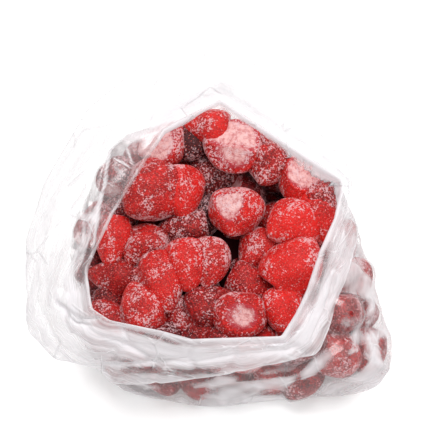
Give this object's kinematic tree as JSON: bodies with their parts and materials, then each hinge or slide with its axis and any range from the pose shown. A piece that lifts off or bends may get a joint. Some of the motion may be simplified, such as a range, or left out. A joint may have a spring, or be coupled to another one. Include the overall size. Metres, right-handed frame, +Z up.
{
  "type": "open clear film bag of frozen strawberries",
  "caption": "Clear plastic film bag standing open on its base, its top folded out as a wide collar, filled to the mouth with whole hulled frozen strawberries under a dusting of frost.",
  "frame": {"origin": "centre of the bounding box in plan, on the surface that the bag stands on", "axes": "+Z up, +X to the right as the picture sees it, +Y away from the camera, towards the mouth's raised far edge"},
  "size_m": [0.2204, 0.1856, 0.1184],
  "materials": {
    "film": "clear soft film, creased and faintly hazy",
    "strawberries": "frosted fruit skin"
  },
  "bodies": {
    "root": {"film_bag": "film", "strawberries": "strawberries"}
  },
  "joints": []
}
